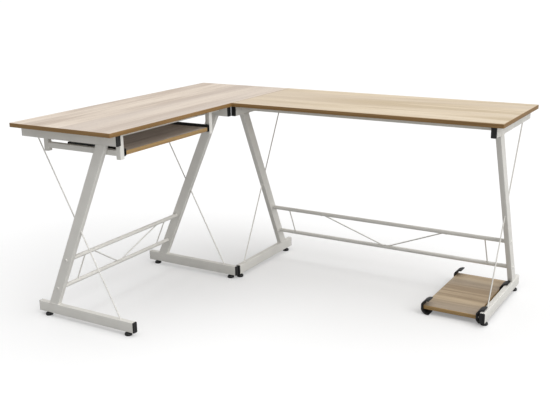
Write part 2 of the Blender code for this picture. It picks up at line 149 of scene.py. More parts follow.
floor_mesh = bpy.data.meshes.new("floor")
corners = np.array([(-1, -1, 0), (1, -1, 0), (1, 1, 0), (-1, 1, 0)]) * FLOOR_REACH
floor_mesh.from_pydata((corners - (0, 0, FLOOR_DROP)).tolist(), [], [(0, 1, 2, 3)])
floor = bpy.data.objects.new("floor", floor_mesh)
bpy.context.scene.collection.objects.link(floor)
floor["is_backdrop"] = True
table, shader = new_material("white_acrylic_light_table", Roughness=0.9, Specular_IOR_Level=0.1)
seen = add_node(table, "LightPath").outputs["Is Camera Ray"]
shown = add_node(table, "Mix", {"data_type": "RGBA"}, {0: seen, 6: linear(THROWN_BACK), 7: linear(WHITE_SHEET)})
link(table, shown.outputs[2], shader.inputs["Base Color"])
glow = add_node(table, "Math", {"operation": "MULTIPLY"}, {0: seen, 1: TABLE_GLOW}).outputs[0]
shader.inputs["Emission Color"].default_value = (1, 1, 1, 1)
link(table, glow, shader.inputs["Emission Strength"])
floor_mesh.materials.append(table)

for name, (strength, spread, source) in SUNS.items():
    sun = bpy.data.objects.new(name, bpy.data.lights.new(name, "SUN"))
    sun.data.energy = strength
    sun.data.angle = math.radians(spread)
    sun.rotation_euler = Vector(source).to_track_quat("Z", "Y").to_euler()
    bpy.context.scene.collection.objects.link(sun)

world = bpy.data.worlds.new("white_room")
world.use_nodes = True
bpy.context.scene.world = world
bpy.context.scene.view_settings.view_transform = "Standard"
sky = world.node_tree.nodes["Background"]
sky.inputs["Color"].default_value = (1, 1, 1, 1)
seen = world.node_tree.nodes.new("ShaderNodeLightPath").outputs["Is Camera Ray"]
strength = world.node_tree.nodes.new("ShaderNodeMapRange")
strength.inputs["To Min"].default_value = SKY_STRENGTH
world.node_tree.links.new(seen, strength.inputs["Value"])
world.node_tree.links.new(strength.outputs["Result"], sky.inputs["Strength"])
print("floor, suns", list(SUNS), "and a sky of", SKY_STRENGTH)

# %% [markdown]
# ## Oak laminate
# The boards are chipboard faced with a printed and embossed oak paper under clear melamine. The eye
# reads three scales at once: broad bands where one printed plank meets the next, streaks a couple of
# centimetres wide, and fine pores. Each is noise that is stretched along the grain. The melamine gives
# an even satin gloss that the embossing breaks up a little.

# %% Oak laminate
def oak_laminate(name, grain_turn, shift, light, middle, dark, greyish):
    """Light oak print. The grain runs along X turned by grain_turn; shift picks a part of the print."""
    material, shader = new_material(name, IOR=1.5, Coat_Weight=0.08, Coat_Roughness=0.25)
    place = add_node(material, "TexCoord").outputs["Object"]
    turned = add_node(material, "Mapping", inputs={
        "Vector": place, "Rotation": (0, 0, -grain_turn), "Location": shift}).outputs[0]

    def stretched(length, width, detail=2.0, distortion=0.0):
        """Noise whose blotches are length long and width wide, in metres."""
        cell = add_node(material, "Mapping", inputs={
            "Vector": turned, "Scale": (1 / length, 1 / width, 1 / width)}).outputs[0]
        return add_node(material, "TexNoise", inputs={
            "Vector": cell, "Scale": 1.0, "Detail": detail, "Distortion": distortion}).outputs["Fac"]

    bands = stretched(0.9, 0.085, 1.0)
    streaks = stretched(0.45, 0.016, 3.0, 0.3)
    grain = stretched(0.10, 0.0028, 3.0)
    pores = stretched(0.020, 0.0009, 1.0)

    tone = add_node(material, "Math", {"operation": "MULTIPLY_ADD"}, {0: streaks, 1: 0.55, 2: 0.0}).outputs[0]
    tone = add_node(material, "Math", {"operation": "MULTIPLY_ADD"}, {0: bands, 1: 0.75, 2: tone}).outputs[0]
    tone = add_node(material, "Math", {"operation": "MULTIPLY_ADD"}, {0: grain, 1: 0.30, 2: tone}).outputs[0]
    ramp = add_node(material, "ValToRGB", inputs={"Fac": tone})
    stops = ((0.62, light), (0.78, middle), (0.90, dark))
    ramp.color_ramp.elements.new(0.5)
    for element, (position, colour) in zip(ramp.color_ramp.elements, stops):
        element.position = position
        element.color = linear(colour)
    tinge = add_node(material, "MapRange", inputs={
        "Value": stretched(1.4, 0.14, 0.0), "From Min": 0.45, "From Max": 0.65, "To Max": 0.65}).outputs[0]
    tinged = add_node(material, "Mix", {"data_type": "RGBA"}, {
        0: tinge, 6: ramp.outputs["Color"], 7: linear(greyish)}).outputs[2]
    pore_mask = add_node(material, "MapRange", inputs={
        "Value": pores, "From Min": 0.60, "From Max": 0.75, "To Max": 0.30}).outputs[0]
    colour = add_node(material, "Mix", {"data_type": "RGBA", "blend_type": "MULTIPLY"}, {
        0: pore_mask, 6: tinged, 7: linear("#8c7150")}).outputs[2]
    link(material, colour, shader.inputs["Base Color"])

    gloss = add_node(material, "MapRange", inputs={
        "Value": grain, "To Min": 0.40, "To Max": 0.56}).outputs[0]
    link(material, gloss, shader.inputs["Roughness"])
    relief = add_node(material, "Bump", inputs={
        "Height": pores, "Distance": 0.00008, "Strength": 0.5}).outputs["Normal"]
    link(material, relief, shader.inputs["Normal"])
    return material


ACROSS = math.pi / 2
OAK_PRINT = {"light": "#e6d6bd", "middle": "#dccaae", "dark": "#c9b595", "greyish": "#d3c2ac"}
OAK_PINK = {"light": "#e7d9c9", "middle": "#dbccbc", "dark": "#c3b2a2", "greyish": "#cdc0b5"}
# The grey print is painted shade: the tray's light oak drawn greyer and darker for the shade that falls on it under the
# top.
OAK_GREY_PAINTED_SHADE = {"light": "#cdc3b9", "middle": "#beb3a9", "dark": "#a4978b", "greyish": "#b3aba6"}
# The tan print is painted shade too: the shelf's light oak drawn darker for the shadow of the desk above it.
OAK_TAN_PAINTED_SHADE = {"light": "#cab697", "middle": "#bba587", "dark": "#a08a6e", "greyish": "#a99b8a"}
oak_left = oak_laminate("oak_laminate_left_top", ACROSS, (0.3, 0.1, 0), **OAK_PINK)
oak_right = oak_laminate("oak_laminate_right_top", 0.0, (2.1, 0.7, 0), **OAK_PRINT)
oak_tray_painted_shade = oak_laminate("oak_laminate_tray_painted_shade", ACROSS, (4.2, 1.3, 0), **OAK_GREY_PAINTED_SHADE)
oak_shelf_painted_shade = oak_laminate("oak_laminate_shelf_painted_shade", 0.0, (6.7, 2.45, 0), **OAK_TAN_PAINTED_SHADE)
print("oak laminates:", [m.name for m in (oak_left, oak_right, oak_tray_painted_shade, oak_shelf_painted_shade)])

# %% [markdown]
# ## The other finishes
# Powder coat is paint melted onto the steel: satin, with a fine orange-peel skin about a millimetre and
# a half across. The edge band is an extruded ABS strip, printed a browner oak than the faces. Caps,
# glides and the stand's feet are moulded polypropylene with a spark-eroded grain. Runners are steel
# with a thin black electro-coat, and the pan-head screws are zinc plated.

# %% Edge band, powder coat, plastic, coated and plated steel
def fine_grain(material, shader, size, depth, low, high):
    """A bump of noise with grains of a given size in metres, which also varies the roughness."""
    place = add_node(material, "TexCoord").outputs["Object"]
    noise = add_node(material, "TexNoise", inputs={"Vector": place, "Scale": 1 / size, "Detail": 2.0}).outputs["Fac"]
    cloud = add_node(material, "TexNoise", inputs={"Vector": place, "Scale": 9.0, "Detail": 3.0}).outputs["Fac"]
    gloss = add_node(material, "MapRange", inputs={
        "Value": cloud, "From Min": 0.3, "From Max": 0.7, "To Min": low, "To Max": high}).outputs[0]
    link(material, gloss, shader.inputs["Roughness"])
    relief = add_node(material, "Bump", inputs={"Height": noise, "Distance": depth, "Strength": 0.6}).outputs["Normal"]
    link(material, relief, shader.inputs["Normal"])
    return cloud


def mottled(material, shader, factor, first, second, low=0.35, high=0.65):
    """Base colour that drifts between two colours as a noise goes from low to high."""
    share = add_node(material, "MapRange", inputs={"Value": factor, "From Min": low, "From Max": high}).outputs[0]
    mixed = add_node(material, "Mix", {"data_type": "RGBA"}, {0: share, 6: linear(first), 7: linear(second)})
    link(material, mixed.outputs[2], shader.inputs["Base Color"])


powder_coat, shader = new_material("powder_coated_steel_warm_grey", IOR=1.5)
cloud = fine_grain(powder_coat, shader, 0.0015, 0.00004, 0.36, 0.48)
mottled(powder_coat, shader, cloud, "#e6e4de", "#dfddd7")

plastic, shader = new_material("moulded_polypropylene_black", IOR=1.49)
cloud = fine_grain(plastic, shader, 0.0007, 0.00005, 0.42, 0.58)
mottled(plastic, shader, cloud, "#1b1b1c", "#232324")

coated_steel, shader = new_material("electro_coated_steel_black", IOR=1.5)
cloud = fine_grain(coated_steel, shader, 0.0020, 0.00002, 0.28, 0.45)
mottled(coated_steel, shader, cloud, "#161617", "#1f1f20")

zinc, shader = new_material("zinc_plated_steel", Metallic=1.0)
cloud = fine_grain(zinc, shader, 0.0006, 0.00002, 0.30, 0.46)
mottled(zinc, shader, cloud, "#b4b3ae", "#9c9b95")

BAND_STREAKS = (4.0, 4.0, 420.0)    # 250 mm long and about 2.4 mm high
edge_band, shader = new_material("abs_edge_band_brown_oak", IOR=1.5, Roughness=0.42)
place = add_node(edge_band, "TexCoord").outputs["Object"]
strips = add_node(edge_band, "Mapping", inputs={"Vector": place, "Scale": BAND_STREAKS}).outputs[0]
streaks = add_node(edge_band, "TexNoise", inputs={"Vector": strips, "Scale": 1.0, "Detail": 3.0}).outputs["Fac"]
mottled(edge_band, shader, streaks, "#987546", "#7d5d31")

# A second, lighter copy of the same band is painted light: it stands for the extra light on the tray's and the shelf's
# front edges.
edge_band_painted_light, shader = new_material("abs_edge_band_painted_light", IOR=1.5, Roughness=0.42)
place = add_node(edge_band_painted_light, "TexCoord").outputs["Object"]
strips = add_node(edge_band_painted_light, "Mapping", inputs={"Vector": place, "Scale": BAND_STREAKS}).outputs[0]
streaks = add_node(edge_band_painted_light, "TexNoise", inputs={"Vector": strips, "Scale": 1.0, "Detail": 3.0}).outputs["Fac"]
mottled(edge_band_painted_light, shader, streaks, "#b39362", "#9a7a4a")

print("finishes:", powder_coat.name, plastic.name, coated_steel.name, zinc.name, edge_band.name)

# %% [markdown]
# ## Surfaces from numpy
# A piece is one or more patches. A patch is a grid of points, rows by columns, and its faces join each
# point to its neighbours; a grid can close round its columns, as a tube does, and round its rows, as a
# ring does. Flat ends are single many-sided faces. The function below makes them one mesh, merges
# points that coincide, and turns every face outwards.

# %% From grids to a finished piece
def unit(vectors):
    return vectors / np.linalg.norm(vectors, axis=-1, keepdims=True)


def patch(grid, around=True, along=False, filled=()):
    """Points and faces of a grid; around closes its columns, along its rows, filled rows get a flat face."""
    grid = np.asarray(grid, float)
    rows, columns = grid.shape[:2]
    index = np.arange(rows * columns).reshape(rows, columns)
    flat_faces = [index[row].tolist() for row in filled]
    if around:
        index = np.concatenate([index, index[:, :1]], axis=1)
    if along:
        index = np.concatenate([index, index[:1]], axis=0)
    quads = np.stack([index[:-1, :-1], index[1:, :-1], index[1:, 1:], index[:-1, 1:]], axis=-1)
    return grid.reshape(-1, 3), quads.reshape(-1, 4).tolist() + flat_faces


def piece(name, patches, material, body="desk_frame", replaces=(), sharp=35.0):
    """One object from patches, with its material, riding on a body and standing for CAD nodes."""
    points, faces, start = [], [], 0
    for patch_points, patch_faces in patches:
        points.append(patch_points)
        faces += [[corner + start for corner in face] for face in patch_faces]
        start += len(patch_points)
    mesh = bpy.data.meshes.new(name)
    mesh.from_pydata(np.concatenate(points).tolist(), [], faces)
    shape = bmesh.new()
    shape.from_mesh(mesh)
    bmesh.ops.remove_doubles(shape, verts=shape.verts, dist=1e-6)
    bmesh.ops.recalc_face_normals(shape, faces=shape.faces)
    shape.to_mesh(mesh)
    shape.free()
    mesh.shade_smooth()
    mesh.set_sharp_from_angle(angle=math.radians(sharp))
    mesh.materials.append(material)
    made = bpy.data.objects.new(name, mesh)
    bpy.context.scene.collection.objects.link(made)
    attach(made, body)
    if replaces:
        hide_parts(*replaces)
    return made


def rounded_outline(width, height, radius, steps=5):
    """A rectangle's outline about its centre: at each corner, centre + radius * (cos a, sin a)."""
    turn = np.linspace(0, math.pi / 2, steps + 1)
    angle = (turn[None, :] + np.arange(4)[:, None] * math.pi / 2).ravel()
    x = np.repeat([1, -1, -1, 1], steps + 1) * (width / 2 - radius) + radius * np.cos(angle)
    y = np.repeat([1, 1, -1, -1], steps + 1) * (height / 2 - radius) + radius * np.sin(angle)
    return np.stack([x, y], axis=-1)


def circle(radius, sides=32):
    """Points radius * (cos a, sin a), a going once round."""
    angle = np.linspace(0, 2 * math.pi, sides, endpoint=False)
    return radius * np.stack([np.cos(angle), np.sin(angle)], axis=-1)


def stations(outlines, distances, start, direction, up):
    """Outlines set along a straight line: start + d * direction + x * side + y * lift, where side is
    up x direction and lift is direction x side."""
    outlines = np.asarray(outlines, float)
    distances = np.asarray(distances, float)[:, None, None]
    direction = unit(np.asarray(direction, float))
    side = unit(np.cross(up, direction))
    lift = np.cross(direction, side)
    return np.asarray(start) + distances * direction + outlines[..., :1] * side + outlines[..., 1:] * lift


def carried(outlines, path, up, closed=False):
    """Outlines carried along a bent path, each square to the path there; up keeps them from turning."""
    path = np.asarray(path, float)
    outlines = np.broadcast_to(outlines, (len(path), *np.shape(outlines)[-2:]))
    ahead = unit(np.roll(path, -1, axis=0) - path)
    behind = np.roll(ahead, 1, axis=0)
    if not closed:
        ahead[-1] = ahead[-2]
        behind[0] = ahead[0]
    way = unit(ahead + behind)
    side = unit(np.cross(up, way))
    lift = np.cross(way, side)
    return path[:, None] + outlines[..., :1] * side[:, None] + outlines[..., 1:] * lift[:, None]


print("helpers ready: patch, piece, rounded_outline, circle, stations, carried")

# %% [markdown]
# ## Where things are
# Everything is measured off the CAD nodes. The four Z frames are alike, so each gets its own measure:
# u runs along the frame from the tops' rear edge, v across it, z up. A left frame's u is +X; a right
# frame's is -Y.

# %% The frames' own measure
UP = np.array([0.0, 0.0, 1.0])
FRAMES = {}
for name in ("left_end", "left_corner", "right_corner", "right_end"):
    low, high = (np.array(corner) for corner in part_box(name + "_top_beam"))
    middle = (low + high) / 2
    if name.startswith("left"):
        origin, along, across = (cad_low[0], middle[1], 0), (1, 0, 0), (0, 1, 0)
    else:
        origin, along, across = (middle[0], cad_high[1], 0), (0, -1, 0), (1, 0, 0)
    FRAMES[name] = (np.array(origin, float), np.array([along, across, (0, 0, 1)], float))


def in_world(name, points):
    """origin + u * along + v * across + z * up."""
    origin, axes = FRAMES[name]
    return origin + np.asarray(points, float) @ axes


def own_measure(name, points):
    """The same the other way: (u, v, z) of world points."""
    origin, axes = FRAMES[name]
    return (np.asarray(points, float) - origin) @ axes.T


def node_points(node):
    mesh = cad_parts[node].data
    flat = np.empty(len(mesh.vertices) * 3, np.float32)
    mesh.vertices.foreach_get("co", flat)
    return flat.reshape(-1, 3).astype(float)


def reach(name, node):
    """Lowest and highest (u, v, z) of a node in a frame's own measure."""
    points = own_measure(name, node_points(node))
    return points.min(axis=0), points.max(axis=0)


def in_frame(name, patches):
    """Patches drawn in a frame's own measure, put into the world."""
    return [(in_world(name, points), faces) for points, faces in patches]


for name in FRAMES:
    low, high = reach(name, name + "_top_beam")
    print(name, "top beam from u", low[0].round(4), "to", high[0].round(4), "at z", low[2].round(4))

# %% [markdown]
# ## Steel tube
# A tube is a skin that goes out along the outside, over the cut end, and back along the inside: four
# rows of points that close on themselves. Its corners are rolled, one to two walls in radius.

# %% Tubes
GAP = 0.0003
TUBE_WALL = 0.0015
TUBE_CORNER = 0.0024
SMALL_WALL = 0.0012
SMALL_CORNER = 0.0020


def hollow(width, height, corner, wall):
    """Outer and inner outline of a tube, in the order out, out, in, in."""
    outer = rounded_outline(width, height, corner)
    inner = rounded_outline(width - 2 * wall, height - 2 * wall, corner - wall)
    return [outer, outer, inner, inner]


def tube(start, end, width, height, corner=TUBE_CORNER, wall=TUBE_WALL, up=UP):
    """A rectangular tube between two points, width across and height along up."""
    start, end = np.asarray(start, float), np.asarray(end, float)
    length = np.linalg.norm(end - start)
    return patch(stations(hollow(width, height, corner, wall), [0, length, length, 0], start, end - start, up),
                 along=True)


def round_tube(start, end, radius, wall, sides=32):
    """A round tube between two points."""
    start, end = np.asarray(start, float), np.asarray(end, float)
    length = np.linalg.norm(end - start)
    rings = [circle(r, sides) for r in (radius, radius, radius - wall, radius - wall)]
    return patch(stations(rings, [0, length, length, 0], start, end - start, (0.3, 0.2, 1.0)), along=True)


def bar(path, radius, sides=14):
    """A round bar along a path, flat at both ends."""
    return patch(carried(circle(radius, sides), path, (0.31, 0.27, 0.91)), filled=(0, -1))


print("tube corner", TUBE_CORNER * 1000, "mm, wall", TUBE_WALL * 1000, "mm")

# %% [markdown]
# ## Weld beads
# Where tube meets tube the frames are gas-shielded arc welded, and the paint covers the bead. Its
# ripples are what tells the eye that it is a weld, so the bead is a round bar whose radius goes up and
# down as it travels. A rod is held by a single spot, a squashed ball.

# %% Beads and spots
RIPPLE = 0.0024
RIPPLE_DEPTH = 0.16
BEAD_RADIUS = 0.0016


def resampled(outline, spacing=RIPPLE / 4):
    """Points evenly spaced along a closed outline, by distance travelled."""
    loop = np.vstack([outline, outline[:1]])
    travelled = np.concatenate([[0], np.cumsum(np.linalg.norm(np.diff(loop, axis=0), axis=1))])
    places = np.linspace(0, travelled[-1], int(travelled[-1] / spacing), endpoint=False)
    return np.stack([np.interp(places, travelled, loop[:, axis]) for axis in range(loop.shape[1])], axis=-1)


def bead(outline, up, radius=BEAD_RADIUS):
    """A ring of weld: radius * (1 + depth * sin(2 pi * distance / ripple)) round a closed outline."""
    path = resampled(outline)
    step = np.linalg.norm(np.roll(path, -1, axis=0) - path, axis=1)
    travelled = np.cumsum(step) - step
    radii = radius * (1 + RIPPLE_DEPTH * np.sin(2 * math.pi * travelled / RIPPLE))
    return patch(carried(radii[:, None, None] * circle(1.0, 8), path, up, closed=True), along=True)


def spot(centre, radius, squash=(1, 1, 1), sides=14):
    """A ball, radius * (sin b cos a, sin b sin a, cos b), squashed along each axis."""
    rise = np.linspace(0, math.pi, sides // 2 + 1)[:, None]
    ring = circle(1.0, sides)
    ball = np.stack([np.sin(rise) * ring[:, 0], np.sin(rise) * ring[:, 1], np.cos(rise) + 0 * ring[:, 0]], axis=-1)
    return patch(np.asarray(centre) + radius * ball * squash)


def level_ring(outline, u, z):
    """A flat outline as a level ring of points about (u, 0) at a height."""
    return np.column_stack([outline[:, 0] + u, outline[:, 1], np.full(len(outline), z)])


# %% [markdown]
# ## The four Z frames
# Each frame is a top beam, a leaning post and a foot beam, welded, with a thin tie rod across it. The
# post's tube is cut level at both ends, so its level section is longer than the tube is wide; the ends
# are read off the CAD node. Weld beads run round it at both ends.

# %% Beams, posts and tie rods
POSTS = {}


def post_ends(name):
    """Level section, depth, and the (u, z) of the middle of the post's foot and head."""
    points = own_measure(name, node_points(name + "_post"))
    heights = points[:, 2].min(), points[:, 2].max()
    ends = [points[abs(points[:, 2] - z) < 1e-4][:, 0] for z in heights]
    section = ends[0].max() - ends[0].min()
    return section, np.ptp(points[:, 1]), [((u.max() + u.min()) / 2, z) for u, z in zip(ends, heights)]


for name in FRAMES:
    for level in ("top_beam", "foot_beam"):
        node = f"{name}_{level}"
        low, high = reach(name, node)
        middle = (low[2] + high[2]) / 2
        beam = tube((low[0], 0, middle), (high[0], 0, middle), high[1] - low[1], high[2] - low[2])
        piece(node + "_tube", in_frame(name, [beam]), powder_coat, replaces=[node])

    section, depth, ends = POSTS[name] = post_ends(name)
    outlines = hollow(section, depth, TUBE_CORNER, TUBE_WALL)
    rings = [level_ring(outline, *ends[end]) for outline, end in zip(outlines, (0, 1, 1, 0))]
    beads = [bead(level_ring(outlines[0], *end), UP) for end in ends]
    node = name + "_post"
    piece(node + "_tube", in_frame(name, [patch(rings, along=True), *beads]), powder_coat, replaces=[node])
    print(node, "section", round(section * 1000, 1), "mm, from u", [round(u, 3) for u, z in ends])

for name, (section, depth, ((foot_u, foot_z), (head_u, head_z))) in POSTS.items():
    node = name + "_tie_rod"
    low, high = reach(name, node)
    radius = (high[1] - low[1]) / 2
    head = np.array([low[0] + radius, 0, high[2]])
    foot = np.array([high[0] - radius, 0, low[2]])
    lean = (head_u - foot_u) / (head_z - foot_z)
    shapes = [bar([head, foot], radius)]
    shapes += [spot(end, radius * 1.6, (1.2, 1.0, 0.6)) for end in (head, foot)]
    for face in (-section / 2, section / 2):
        apart = foot_u + face + lean * (head[2] - foot_z) - head[0]
        closing = (foot[0] - head[0]) - lean * (foot[2] - head[2])
        shapes.append(spot(head + apart / closing * (foot - head), radius * 1.5, (0.8, 1.0, 1.2)))
    piece(node + "_bar", in_frame(name, shapes), powder_coat, replaces=[node])

# %% [markdown]
# ## End caps
# A moulded cap closes each beam: a plug that grips the inside of the tube and a flange as large as the
# tube. Its outer edge is rounded, and moulders sink the face a little so that it doesn't bulge as it
# cools. The outline is carried forwards while it shrinks and grows.

# %% Caps
PLUG_LENGTH = 0.008
PLUG_PLAY = 0.0003
SINK_DEPTH = 0.0004


def end_cap(width, height, thickness, start, direction):
    """Rounded outlines, each inset by an amount, at distances from the flange's back."""
    edge = min(0.0007, thickness * 0.3)
    turn = np.linspace(0, math.pi / 2, 5)
    plug = TUBE_WALL + PLUG_PLAY
    insets = [plug, plug, 0, *(edge * (1 - np.cos(turn))), 0.0045, 0.0052]
    places = [-PLUG_LENGTH, 0, 0, *(thickness - edge + edge * np.sin(turn)), thickness, thickness - SINK_DEPTH]
    rings = [rounded_outline(width - 2 * i, height - 2 * i, max(TUBE_CORNER - i, 0.0008)) for i in insets]
    return patch(stations(rings, places, start, direction, UP), filled=(0, -1))


for name in FRAMES:
    for level in ("top", "foot"):
        beam_low, beam_high = reach(name, f"{name}_{level}_beam")
        middle = (beam_low[2] + beam_high[2]) / 2
        width, height = (beam_high - beam_low)[1:]
        for end, way in (("front", 1), ("rear", -1)):
            node = f"{name}_{level}_cap_{end}"
            low, high = reach(name, node)
            back = beam_high[0] + GAP if way > 0 else beam_low[0] - GAP
            thickness = high[0] - back if way > 0 else back - low[0]
            shape = end_cap(width, height, thickness, (back, 0, middle), (way, 0, 0))
            piece(node + "_moulding", in_frame(name, [shape]), plastic, replaces=[node])
print("caps on both ends of", 2 * len(FRAMES), "beams")

# %% [markdown]
# ## Levelling glides
# The desk stands on eight screw-in glides. Each is a profile turned about the vertical, and three bands
# of it aren't round: the pad has grip ribs, the neck is a hexagon for a spanner, and the stem carries a
# thread. All three are a second function, of the angle, that multiplies the radius.

# %% Glides
RIB_COUNT = 24
THREAD_PITCH = 0.00125
GLIDE_SIDES = 96
GLIDE_PROFILE = [  # radius, height, and what shapes the radius
    (0, 0, "round"), (0.0120, 0, "round"), (0.0128, 0.0004, "round"), (0.0136, 0.0015, "ribbed"),
    (0.0137, 0.0040, "ribbed"), (0.0136, 0.0070, "ribbed"), (0.0126, 0.0090, "round"),
    (0.0085, 0.0108, "round"), (0.0068, 0.0112, "hexagonal"), (0.0068, 0.0143, "hexagonal"),
    (0.0060, 0.0147, "round"), (0.0042, 0.0147, "round")]


def hexagon(angle):
    """How much further than its flats a hexagon reaches: 1 / cos of the angle from the nearest flat."""
    return 1 / np.cos(np.mod(angle, math.pi / 3) - math.pi / 6)


def glide(centre, top):
    """The profile, then the stem: radius less a tooth wave of height / pitch less the turn so far."""
    angle = np.linspace(0, 2 * math.pi, GLIDE_SIDES, endpoint=False)
    shapes = {"round": 1 + 0 * angle, "hexagonal": hexagon(angle), "ribbed": 1 + 0.018 * np.cos(RIB_COUNT * angle)}
    radii = np.array([radius * shapes[shape] for radius, _, shape in GLIDE_PROFILE])
    heights = np.array([height for _, height, _ in GLIDE_PROFILE])
    stem = np.arange(0.0150, top - 0.001, THREAD_PITCH / 4)[:, None]
    tooth = abs(np.mod(stem / THREAD_PITCH - angle / (2 * math.pi), 1) - 0.5) * 2
    radii = np.vstack([radii, 0.0040 - 0.0006 * tooth, 0.0030 + 0 * angle, 0 * angle])
    heights = np.concatenate([heights, stem[:, 0], [top, top]])
    points = np.stack([radii * np.cos(angle), radii * np.sin(angle), heights[:, None] + 0 * angle], axis=-1)
    return patch(points + centre)


for name in FRAMES:
    for end in ("front", "rear"):
        node = f"{name}_glide_{end}"
        low, high = (np.array(corner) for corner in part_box(node))
        centre = (*((low + high) / 2)[:2], low[2])
        piece(node + "_moulding", [glide(centre, high[2] - low[2])], plastic, node, [node], sharp=50)
print("glides: pad", round((high - low)[0] * 1000, 1), "mm wide,", RIB_COUNT, "ribs")

# %% [markdown]
# ## Stretchers
# Low down, each wing has two round tubes between its posts. A thin rod bent into a wide V and a short
# rod near each end are welded between them, which turns the pair into a stiff lattice. The bend of the
# V is rounded, as rod bends round a pin.

# %% Stretcher trusses
STRETCHER_RADIUS = 0.008
TRUSS_ROD = 0.0025
END_ROD = 0.082
WINGS = {"left": ("left_end", 0.120), "right": ("right_corner", 0.240)}
STRETCHERS = {}


def bent(start, corner, end, reach_back=0.03, steps=9):
    """Straight runs with the corner rounded: (1-t)^2 before + 2t(1-t) corner + t^2 after."""
    start, corner, end = (np.asarray(point, float) for point in (start, corner, end))
    t = np.linspace(0, 1, steps)[:, None]
    before = corner + reach_back * unit(start - corner)
    after = corner + reach_back * unit(end - corner)
    return np.vstack([start, (1 - t) ** 2 * before + 2 * t * (1 - t) * corner + t ** 2 * after, end])


for wing, (name, v_start) in WINGS.items():
    node = wing + "_stretcher_truss"
    low, high = reach(name, node)
    upper = np.array([high[0] - STRETCHER_RADIUS, high[2] - STRETCHER_RADIUS])
    lower = np.array([low[0] + STRETCHER_RADIUS, low[2] + STRETCHER_RADIUS])
    STRETCHERS[wing] = (upper, lower)
    ends = low[1], high[1]

    def at(tube_place, v):
        return np.array([tube_place[0], v, tube_place[1]])

    shapes = [round_tube(at(place, ends[0]), at(place, ends[1]), STRETCHER_RADIUS, SMALL_WALL) for place in (upper, lower)]
    middle = (ends[0] + ends[1]) / 2
    starts = ends[0] + v_start, ends[1] - v_start
    shapes.append(bar(bent(at(upper, starts[0]), at(lower, middle), at(upper, starts[1])), TRUSS_ROD))
    shapes += [bar([at(upper, v), at(lower, v)], TRUSS_ROD) for v in (ends[0] + END_ROD, ends[1] - END_ROD)]
    slant = unit(upper - lower) * STRETCHER_RADIUS
    for v in (*starts, ends[0] + END_ROD, ends[1] - END_ROD):
        shapes.append(spot(at(upper - slant, v), 0.0042, (1, 1.5, 0.8)))
    for v in (middle, ends[0] + END_ROD, ends[1] - END_ROD):
        shapes.append(spot(at(lower + slant, v), 0.0042, (1, 1.5, 0.8)))
    piece(node + "_lattice", in_frame(name, shapes), powder_coat, replaces=[node])
    print(node, "spans", round(ends[1] - ends[0], 3), "m, tubes at", upper.round(3), lower.round(3))

# %% [markdown]
# ## Rails under the tops
# Two square tubes run under each top from frame to frame and carry the board.

# %% Rails
RAILS = {}
for wing, (name, _) in WINGS.items():
    for place in ("front", "rear"):
        node = f"{wing}_{place}_rail"
        low, high = reach(name, node)
        u, z = (low[0] + high[0]) / 2, (low[2] + high[2]) / 2
        RAILS[node] = (u, z)
        rail = tube((u, low[1], z), (u, high[1], z), high[0] - low[0], high[2] - low[2], SMALL_CORNER, SMALL_WALL)
        piece(node + "_tube", in_frame(name, [rail]), powder_coat, replaces=[node])
print("rails at", {node: (round(u, 3), round(z, 3)) for node, (u, z) in RAILS.items()})

# %% [markdown]
# ## Screws
# The stretchers and rails are held by painted button-head screws through the posts and beams, with a
# hexagon socket; the boards by plated pan-head screws from below. A head is a turned profile, and the rows inside the
# socket take the hexagon's shape.

# %% Screw heads
BUTTON_HEAD = [(0.0062, 0), (0.0062, 0.0006), (0.0057, 0.0017), (0.0047, 0.0026), (0.0034, 0.0032), (0.0027, 0.0033)]
BUTTON_SOCKET = [(0.0021, 0.0033), (0.0020, 0.0031), (0.0020, 0.0014), (0, 0.0012)]
PAN_HEAD = [(0.0042, 0), (0.0042, 0.0008), (0.0038, 0.0018), (0.0028, 0.0023), (0.0018, 0.0024)]
PAN_SOCKET = [(0.0014, 0.0024), (0.0013, 0.0022), (0.0012, 0.0010), (0, 0.0009)]


def screw_head(centre, axis, head=BUTTON_HEAD, socket=BUTTON_SOCKET, sides=36):
    """centre + height * axis + radius * (cos a * side + sin a * lift), with a hexagon in the socket."""
    angle = np.linspace(0, 2 * math.pi, sides, endpoint=False)
    profile = np.array([(0, 0), *head, *socket])
    radii = profile[:, :1] * np.where(np.arange(len(profile))[:, None] > len(head), hexagon(angle), 1.0)
    axis = unit(np.asarray(axis, float))
    side = unit(np.cross((0.31, 0.23, 0.92), axis))
    ring = np.cos(angle)[:, None] * side + np.sin(angle)[:, None] * np.cross(axis, side)
    return patch(np.asarray(centre) + profile[:, 1, None, None] * axis + radii[..., None] * ring)


OUTWARD = {"left_end": -1, "left_corner": 1, "right_corner": -1, "right_end": 1}
BOARD_SCREWS = (0.15, 0.27)
for name, outward in OUTWARD.items():
    wing = name.split("_")[0]
    low, high = reach(name, name + "_top_beam")
    face = high[1] if outward > 0 else low[1]
    places = [RAILS[f"{wing}_{place}_rail"] for place in ("front", "rear")] + list(STRETCHERS[wing])
    heads = [screw_head((u, face, z), (0, outward, 0)) for u, z in places]
    piece(name + "_button_screws", in_frame(name, heads), powder_coat)
    heads = [screw_head((u, 0, low[2]), (0, 0, -1), PAN_HEAD, PAN_SOCKET) for u in BOARD_SCREWS]
    piece(name + "_board_screws", in_frame(name, heads), zinc)
print("screws:", len(OUTWARD) * (len(places) + len(BOARD_SCREWS)))

# %% [markdown]
# ## Boards
# Tops, tray and shelf are chipboard between two laminate faces, with an ABS band glued round the cut
# edge and its arrises rounded over. Core and band are separate pieces, because their prints differ and
# the fine brown line of the band is what outlines every board. The band is a profile that closes on
# itself, carried round the board by shrinking one outline.

# %% Boards and edge bands
BAND = 0.0012
ARRIS = 0.0008
BOARD_CORNER = 0.0022


def layers(low, high, insets, heights, corner=BOARD_CORNER):
    """Rounded outlines round a box, each inset by an amount and at a height."""
    width, depth = (high - low)[:2]
    middle = (low + high) / 2
    outlines = [rounded_outline(width - 2 * i, depth - 2 * i, max(corner - i, 0.0004), 6) for i in insets]
    rows = [np.column_stack([outline, np.full(len(outline), z)]) for outline, z in zip(outlines, heights)]
    return np.array(rows) + (middle[0], middle[1], 0)


